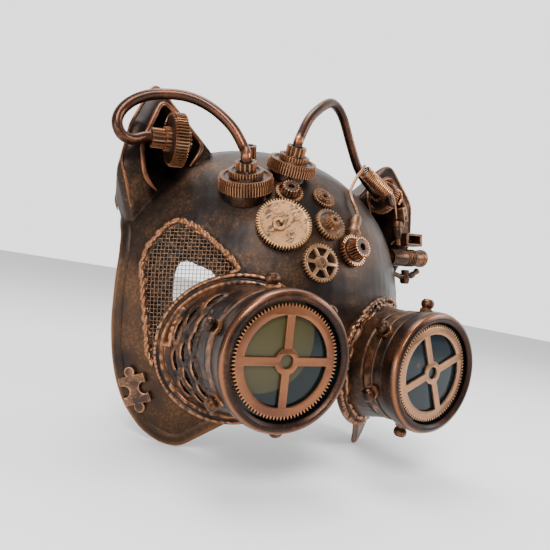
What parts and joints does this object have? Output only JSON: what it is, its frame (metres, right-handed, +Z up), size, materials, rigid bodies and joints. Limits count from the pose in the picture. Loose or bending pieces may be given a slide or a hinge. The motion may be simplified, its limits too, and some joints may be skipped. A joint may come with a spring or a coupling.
{
  "type": "steampunk cat half-mask with goggles",
  "caption": "Domed half-face mask with scooped cat ears, two flared goggles with screw-off rims, clock gears and bent tubes.",
  "frame": {"origin": "on the mask's middle plane at eye level, just inside the bridge of the nose", "axes": "+Z up, the face looks along -Y, +X is the right-hand side as a viewer faces the mask"},
  "size_m": [0.2225, 0.124, 0.2043],
  "materials": {
    "shell": "rough, mottled umber and grey-blue with worn copper edges",
    "cup_copper": "dark brown with rubbed copper highlights",
    "collar_metal": "leathery worn grey-copper",
    "bezel_metal": "satin dark bronze with worn edges",
    "knob_brass": "satin aged brass",
    "cog_rose": "satin rose brass",
    "lens": "glossy, nearly black",
    "seal_rubber": "matte",
    "screen_wire": "fine grey woven wire",
    "stack_copper": "dark bronze with copper tooth tips",
    "gear_beige": "satin beige brass with dark scratches",
    "gear_dark": "dark bronze with bright edges",
    "tube_copper": "smooth satin copper",
    "window_bead": "rough dark copper",
    "grille_wire": "woven wire, grey and copper",
    "trim_copper": "aged copper",
    "spring_copper": "satin copper wire",
    "fitting_metal": "aged copper-brass",
    "anchor_plastic": "plain dark"
  },
  "bodies": {
    "mask": {"coil_spring": "spring_copper", "collar_knob_left_1": "knob_brass", "collar_knob_left_2": "knob_brass", "collar_knob_left_3": "knob_brass", "collar_knob_left_4": "knob_brass", "collar_knob_left_5": "knob_brass", "collar_knob_left_6": "knob_brass", "collar_knob_right_1": "knob_brass", "collar_knob_right_2": "knob_brass", "collar_knob_right_3": "knob_brass", "collar_knob_right_4": "knob_brass", "collar_knob_right_5": "knob_brass", "collar_knob_right_6": "knob_brass", "dished_gear": "gear_beige", "double_gear": "gear_dark", "drum_gear": "gear_dark", "ear_gears_left": "stack_copper", "ear_gears_right": "stack_copper", "gear_stack_left": "stack_copper", "gear_stack_right": "stack_copper", "goggle_collar_left": "collar_metal", "goggle_collar_right": "collar_metal", "goggle_cup_left": "cup_copper", "goggle_cup_right": "cup_copper", "lead_wire": "spring_copper", "mask_shell": "shell", "puzzle_piece": "trim_copper", "rear_pinion": "gear_dark", "scratched_gear": "gear_beige", "skeleton_gear": "gear_dark", "spoked_gear": "gear_beige", "spring_sleeve": "fitting_metal", "spring_wire_long": "spring_copper", "strap_anchor_left": "anchor_plastic", "strap_anchor_right": "anchor_plastic", "temple_block": "trim_copper", "temple_bracket": "fitting_metal", "temple_cylinder": "fitting_metal", "temple_hook": "spring_copper", "temple_knob": "fitting_metal", "temple_lever": "fitting_metal", "temple_plug": "fitting_metal", "tube_left": "tube_copper", "tube_right": "tube_copper", "vent_screen_left": "screen_wire", "vent_screen_right": "screen_wire", "window_frame": "window_bead", "window_grille": "grille_wire", "wire_ferrule": "fitting_metal"},
    "left_lens_pack": {"lens_gasket_left": "seal_rubber"},
    "left_bezel": {"bezel_ring_left": "bezel_metal", "dark_lens_left": "lens", "cog_insert_left": "cog_rose"},
    "right_lens_pack": {"lens_gasket_right": "seal_rubber"},
    "right_bezel": {"bezel_ring_right": "bezel_metal", "dark_lens_right": "lens", "cog_insert_right": "cog_rose"}
  },
  "joints": [
    {"name": "left_lens_lift", "type": "slide", "parent": "mask", "child": "left_lens_pack", "axis": [-0.0698, -0.9976, 0], "range_m": [0, 0.0041]},
    {"name": "left_bezel_turn", "type": "hinge", "parent": "left_lens_pack", "child": "left_bezel", "pos_m": [-0.0442, -0.047, 0], "axis": [-0.0698, -0.9976, 0], "range_deg": [0, 720]},
    {"name": "right_lens_lift", "type": "slide", "parent": "mask", "child": "right_lens_pack", "axis": [0.0698, -0.9976, 0], "range_m": [0, 0.0041]},
    {"name": "right_bezel_turn", "type": "hinge", "parent": "right_lens_pack", "child": "right_bezel", "pos_m": [0.0442, -0.047, 0], "axis": [0.0698, -0.9976, 0], "range_deg": [0, 720]}
  ],
  "couplings": [
    {"joint": "left_lens_lift", "follows": "left_bezel_turn", "m_per_rad": 0.00031831},
    {"joint": "right_lens_lift", "follows": "right_bezel_turn", "m_per_rad": 0.00031831}
  ]
}
